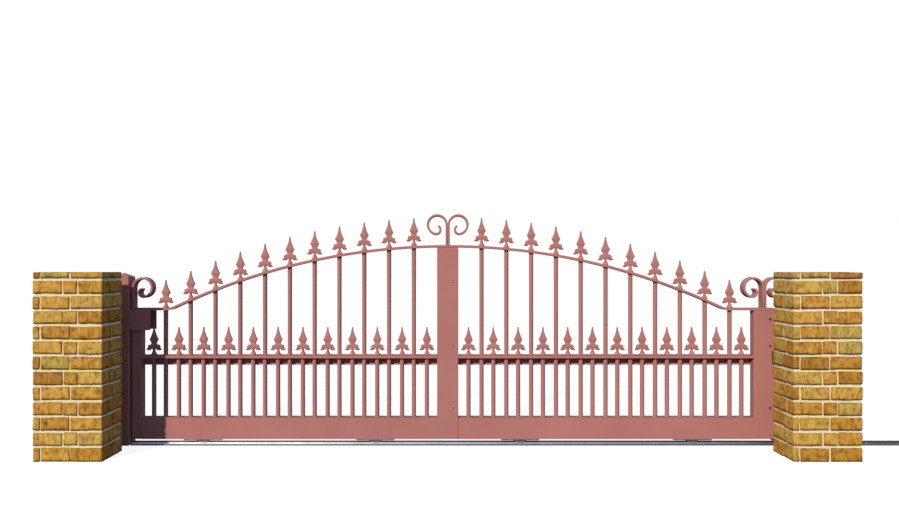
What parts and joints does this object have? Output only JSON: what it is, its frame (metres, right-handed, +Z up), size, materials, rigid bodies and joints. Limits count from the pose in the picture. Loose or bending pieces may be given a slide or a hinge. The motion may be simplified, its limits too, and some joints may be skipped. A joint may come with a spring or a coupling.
{
  "type": "sliding driveway gate",
  "caption": "Painted metal sliding driveway gate with an arched picket leaf, spearheads and scrolls, rolling on a ground track between two brick pillars.",
  "frame": {"origin": "on the ground at the middle of the passage, on the leaf's centre plane, which is a point on the track plate's underside", "axes": "+X to the right seen from the street, the way the leaf opens; +Y away from the street; +Z up"},
  "size_m": [8.094, 0.548, 1.4658],
  "materials": {
    "gate_paint": "satin powder coat, dusty terracotta pink",
    "galvanised_steel": "galvanised, dull blue grey",
    "nylon": "matt black nylon",
    "brick": "ochre bricks with pale mortar joints"
  },
  "bodies": {
    "ground_parts": {"left_pillar": "brick", "right_pillar": "brick", "reception_post": "gate_paint", "reception_post_cap": "gate_paint", "reception_fork": "gate_paint", "track_plate": "galvanised_steel", "track_bead": "galvanised_steel", "track_stop": "galvanised_steel", "guide_bracket": "galvanised_steel", "front_guide_roller": "nylon", "guide_post": "gate_paint", "rear_guide_roller": "nylon"},
    "leaf": {"left_stile": "gate_paint", "centre_stile": "gate_paint", "right_stile": "gate_paint", "left_bottom_rail": "gate_paint", "right_bottom_rail": "gate_paint", "left_mid_rail": "gate_paint", "right_mid_rail": "gate_paint", "left_top_rail": "gate_paint", "right_top_rail": "gate_paint", "left_tall_pickets": "gate_paint", "right_tall_pickets": "gate_paint", "left_short_pickets": "gate_paint", "right_short_pickets": "gate_paint", "left_top_spearheads": "gate_paint", "right_top_spearheads": "gate_paint", "left_low_spearheads": "gate_paint", "right_low_spearheads": "gate_paint", "left_end_scroll": "gate_paint", "centre_scroll_left": "gate_paint", "centre_scroll_right": "gate_paint", "right_end_scroll_left": "gate_paint", "right_end_scroll_right": "gate_paint", "roller_carriage_1": "galvanised_steel", "roller_carriage_2": "galvanised_steel", "roller_carriage_3": "galvanised_steel", "roller_carriage_4": "galvanised_steel"},
    "roller_1": {"wheel_1": "galvanised_steel"},
    "roller_2": {"wheel_2": "galvanised_steel"},
    "roller_3": {"wheel_3": "galvanised_steel"},
    "roller_4": {"wheel_4": "galvanised_steel"}
  },
  "joints": [
    {"name": "leaf_slide", "type": "slide", "parent": "ground_parts", "child": "leaf", "axis": [1, 0, 0], "range_m": [0, 4]},
    {"name": "roller_1_spin", "type": "hinge", "parent": "leaf", "child": "roller_1", "pos_m": [-1.555, 0, 0.0823], "axis": [0, 1, 0], "range_deg": [0, 3820]},
    {"name": "roller_2_spin", "type": "hinge", "parent": "leaf", "child": "roller_2", "pos_m": [-0.46, 0, 0.0823], "axis": [0, 1, 0], "range_deg": [0, 3820]},
    {"name": "roller_3_spin", "type": "hinge", "parent": "leaf", "child": "roller_3", "pos_m": [0.46, 0, 0.0823], "axis": [0, 1, 0], "range_deg": [0, 3820]},
    {"name": "roller_4_spin", "type": "hinge", "parent": "leaf", "child": "roller_4", "pos_m": [1.555, 0, 0.0823], "axis": [0, 1, 0], "range_deg": [0, 3820]}
  ],
  "couplings": [
    {"joint": "roller_1_spin", "follows": "leaf_slide", "rad_per_m": 16.667},
    {"joint": "roller_2_spin", "follows": "leaf_slide", "rad_per_m": 16.667},
    {"joint": "roller_3_spin", "follows": "leaf_slide", "rad_per_m": 16.667},
    {"joint": "roller_4_spin", "follows": "leaf_slide", "rad_per_m": 16.667}
  ]
}
